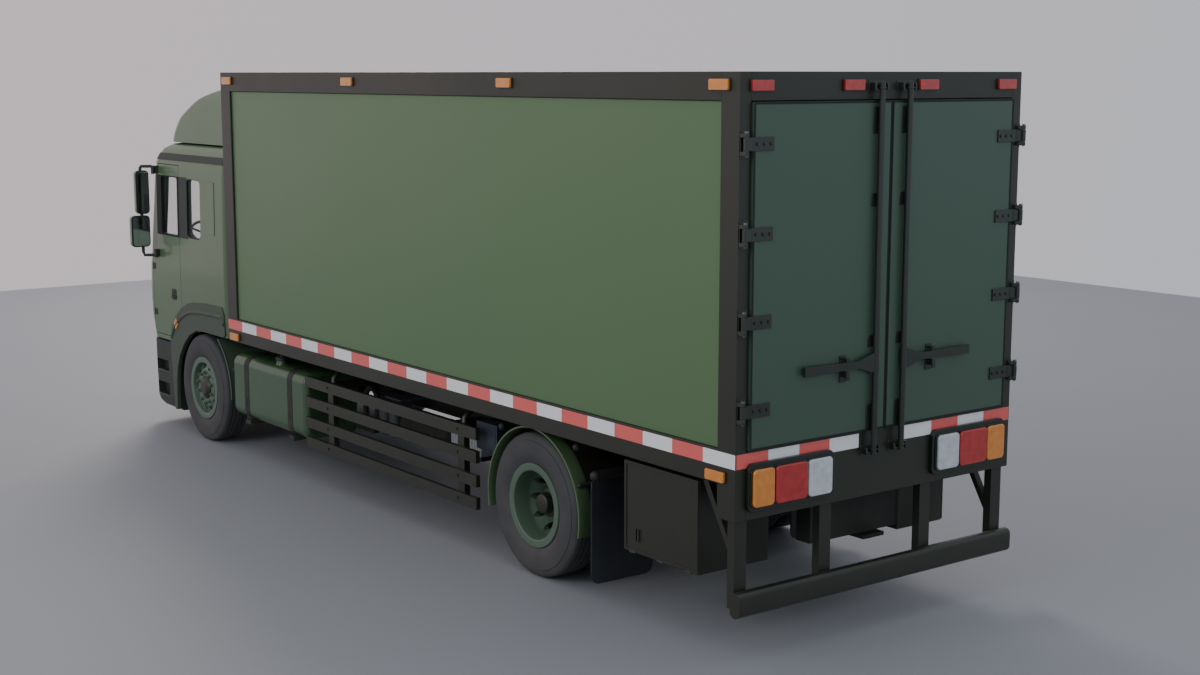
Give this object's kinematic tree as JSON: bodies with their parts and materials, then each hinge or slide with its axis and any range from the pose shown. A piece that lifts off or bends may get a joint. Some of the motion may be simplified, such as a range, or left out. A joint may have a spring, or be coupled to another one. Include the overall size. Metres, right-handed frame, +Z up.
{
  "type": "mail delivery truck",
  "caption": "Cab-over two-axle box lorry with swinging rear doors, tilting cab, steered front wheels, dual rear wheels, side guards, fuel tank and tool lockers.",
  "frame": {"origin": "centre of the overall box, on the ground under the tyres", "axes": "+X to the left side of the lorry, +Y to its rear doors, +Z up; the cab faces -Y"},
  "size_m": [2.9, 9.428, 3.57],
  "materials": {
    "panel_green": "semi-gloss dark green paint on flat sheet",
    "frame_green": "semi-gloss very dark olive paint on pressed frames",
    "cab_green": "glossy green paint on pressed cab panels",
    "door_green": "semi-gloss dark green paint on the rear doors",
    "chassis_black": "satin black chassis paint with dust",
    "trim_black": "grained black plastic",
    "lock_black": "black enamelled steel lock gear",
    "tyre_rubber": "matt tyre rubber",
    "wheel_green": "satin grey-green wheel paint",
    "flap_rubber": "matt black rubber sheet",
    "glass": "clear tinted safety glass",
    "lamp": "glossy lamp lens and housing",
    "seat_fabric": "woven seat cloth",
    "engine_iron": "grey painted castings"
  },
  "bodies": {
    "chassis": {"chassis_frame": "chassis_black", "box_floor": "chassis_black", "side_frame_left": "frame_green", "side_frame_right": "frame_green", "side_panel_left": "panel_green", "side_panel_right": "panel_green", "front_wall": "panel_green", "roof_panel": "panel_green", "rear_frame": "frame_green", "tail_lamp_left": "lamp", "tail_lamp_right": "lamp", "rear_bumper": "frame_green", "toolbox_left": "frame_green", "toolbox_right": "frame_green", "fuel_tank": "cab_green", "side_guard_left": "frame_green", "side_guard_right": "frame_green", "mudguard_left": "cab_green", "mudguard_right": "cab_green", "mudflap_left": "flap_rubber", "mudflap_right": "flap_rubber", "air_tank": "chassis_black", "engine_and_gearbox": "engine_iron", "front_axle": "chassis_black", "rear_axle": "chassis_black", "front_bumper": "trim_black"},
    "cab": {"cab_shell": "cab_green", "windscreen": "glass", "roof_deflector": "cab_green"},
    "propshaft": {"propshaft": "chassis_black"},
    "steering_wheel": {"steering_wheel": "trim_black"},
    "driver_seat": {"driver_seat": "seat_fabric"},
    "grille_lid": {"grille_lid": "trim_black"},
    "fuel_cap": {"fuel_cap": "trim_black"},
    "knuckle_left": {"knuckle_left": "chassis_black"},
    "cab_door_left": {"cab_door_left": "cab_green"},
    "door_glass_left": {"door_glass_left": "glass"},
    "mirror_left": {"mirror_left": "cab_green"},
    "rear_door_left": {"rear_door_left": "door_green"},
    "lock_rod_left": {"lock_rod_left": "lock_black"},
    "toolbox_door_left": {"toolbox_door_left": "frame_green"},
    "wiper_left": {"wiper_left": "trim_black"},
    "wheel_front_left": {"tyre_front_left": "tyre_rubber", "rim_front_left": "wheel_green"},
    "wheel_rear_left": {"tyre_rear_outer_left": "tyre_rubber", "tyre_rear_inner_left": "tyre_rubber", "rim_rear_left": "wheel_green"},
    "knuckle_right": {"knuckle_right": "chassis_black"},
    "cab_door_right": {"cab_door_right": "cab_green"},
    "door_glass_right": {"door_glass_right": "glass"},
    "mirror_right": {"mirror_right": "cab_green"},
    "rear_door_right": {"rear_door_right": "door_green"},
    "lock_rod_right": {"lock_rod_right": "lock_black"},
    "toolbox_door_right": {"toolbox_door_right": "frame_green"},
    "wiper_right": {"wiper_right": "trim_black"},
    "wheel_front_right": {"tyre_front_right": "tyre_rubber", "rim_front_right": "wheel_green"},
    "wheel_rear_right": {"tyre_rear_outer_right": "tyre_rubber", "tyre_rear_inner_right": "tyre_rubber", "rim_rear_right": "wheel_green"}
  },
  "joints": [
    {"name": "cab_tilt", "type": "hinge", "parent": "chassis", "child": "cab", "pos_m": [0, -4.664, 0.885], "axis": [1, 0, 0], "range_deg": [0, 50]},
    {"name": "steer_left", "type": "hinge", "parent": "chassis", "child": "knuckle_left", "pos_m": [0.9, -3.248, 0.522], "axis": [0, 0, 1], "range_deg": [-35, 35]},
    {"name": "wheel_front_left_spin", "type": "hinge", "parent": "knuckle_left", "child": "wheel_front_left", "pos_m": [1.06, -3.248, 0.522], "axis": [1, 0, 0], "continuous": true},
    {"name": "wheel_rear_left_spin", "type": "hinge", "parent": "chassis", "child": "wheel_rear_left", "pos_m": [0.895, 2.414, 0.522], "axis": [1, 0, 0], "continuous": true},
    {"name": "rear_door_left_open", "type": "hinge", "parent": "chassis", "child": "rear_door_left", "pos_m": [1.235, 4.681, 2.355], "axis": [0, 0, -1], "range_deg": [0, 240]},
    {"name": "lock_rod_left_turn", "type": "hinge", "parent": "rear_door_left", "child": "lock_rod_left", "pos_m": [0.125, 4.686, 1.76], "axis": [0, 0, 1], "range_deg": [0, 95]},
    {"name": "toolbox_door_left_open", "type": "hinge", "parent": "chassis", "child": "toolbox_door_left", "pos_m": [1.203, 3.862, 0.45], "axis": [0, 1, 0], "range_deg": [0, 100]},
    {"name": "cab_door_left_open", "type": "hinge", "parent": "cab", "child": "cab_door_left", "pos_m": [1.19, -4.43, 1.5], "axis": [0, 0, -1], "range_deg": [0, 70]},
    {"name": "window_left_lower", "type": "slide", "parent": "cab_door_left", "child": "door_glass_left", "axis": [0, 0, -1], "range_m": [0, 0.44]},
    {"name": "mirror_left_fold", "type": "hinge", "parent": "cab_door_left", "child": "mirror_left", "pos_m": [1.216, -4.244, 2.2], "axis": [0, 0, 1], "range_deg": [-25, 45]},
    {"name": "steer_right", "type": "hinge", "parent": "chassis", "child": "knuckle_right", "pos_m": [-0.9, -3.248, 0.522], "axis": [0, 0, 1], "range_deg": [-35, 35]},
    {"name": "wheel_front_right_spin", "type": "hinge", "parent": "knuckle_right", "child": "wheel_front_right", "pos_m": [-1.06, -3.248, 0.522], "axis": [1, 0, 0], "continuous": true},
    {"name": "wheel_rear_right_spin", "type": "hinge", "parent": "chassis", "child": "wheel_rear_right", "pos_m": [-0.895, 2.414, 0.522], "axis": [1, 0, 0], "continuous": true},
    {"name": "rear_door_right_open", "type": "hinge", "parent": "chassis", "child": "rear_door_right", "pos_m": [-1.235, 4.681, 2.355], "axis": [0, 0, 1], "range_deg": [0, 240]},
    {"name": "lock_rod_right_turn", "type": "hinge", "parent": "rear_door_right", "child": "lock_rod_right", "pos_m": [-0.125, 4.686, 1.76], "axis": [0, 0, -1], "range_deg": [0, 95]},
    {"name": "toolbox_door_right_open", "type": "hinge", "parent": "chassis", "child": "toolbox_door_right", "pos_m": [-1.063, 3.862, 0.45], "axis": [0, -1, 0], "range_deg": [0, 100]},
    {"name": "cab_door_right_open", "type": "hinge", "parent": "cab", "child": "cab_door_right", "pos_m": [-1.19, -4.43, 1.5], "axis": [0, 0, 1], "range_deg": [0, 70]},
    {"name": "window_right_lower", "type": "slide", "parent": "cab_door_right", "child": "door_glass_right", "axis": [0, 0, -1], "range_m": [0, 0.44]},
    {"name": "mirror_right_fold", "type": "hinge", "parent": "cab_door_right", "child": "mirror_right", "pos_m": [-1.216, -4.244, 2.2], "axis": [0, 0, -1], "range_deg": [-25, 45]},
    {"name": "wiper_left_sweep", "type": "hinge", "parent": "cab", "child": "wiper_left", "pos_m": [0.82, -4.694, 1.7], "axis": [0, 0.9873, -0.1591], "range_deg": [0, 85]},
    {"name": "wiper_right_sweep", "type": "hinge", "parent": "cab", "child": "wiper_right", "pos_m": [-0.06, -4.694, 1.7], "axis": [0, 0.9873, -0.1591], "range_deg": [0, 85]},
    {"name": "grille_lid_lift", "type": "hinge", "parent": "cab", "child": "grille_lid", "pos_m": [0, -4.716, 1.562], "axis": [-1, 0, 0], "range_deg": [0, 80]},
    {"name": "steering_wheel_turn", "type": "hinge", "parent": "cab", "child": "steering_wheel", "pos_m": [0.62, -4.254, 1.93], "axis": [0, 0.5736, 0.8192], "range_deg": [-700, 700]},
    {"name": "driver_seat_slide", "type": "slide", "parent": "cab", "child": "driver_seat", "axis": [0, 1, 0], "range_m": [-0.1, 0.08]},
    {"name": "fuel_cap_turn", "type": "hinge", "parent": "chassis", "child": "fuel_cap", "pos_m": [1.09, -1.714, 1.017], "axis": [0, 0, 1], "range_deg": [0, 90]},
    {"name": "propshaft_spin", "type": "hinge", "parent": "chassis", "child": "propshaft", "pos_m": [0, 0.03, 0.6265], "axis": [0, 0.9994, -0.0352], "continuous": true}
  ],
  "couplings": [
    {"joint": "steer_right", "follows": "steer_left", "ratio": 1},
    {"joint": "steering_wheel_turn", "follows": "steer_left", "ratio": 20},
    {"joint": "wiper_right_sweep", "follows": "wiper_left_sweep", "ratio": 1}
  ]
}
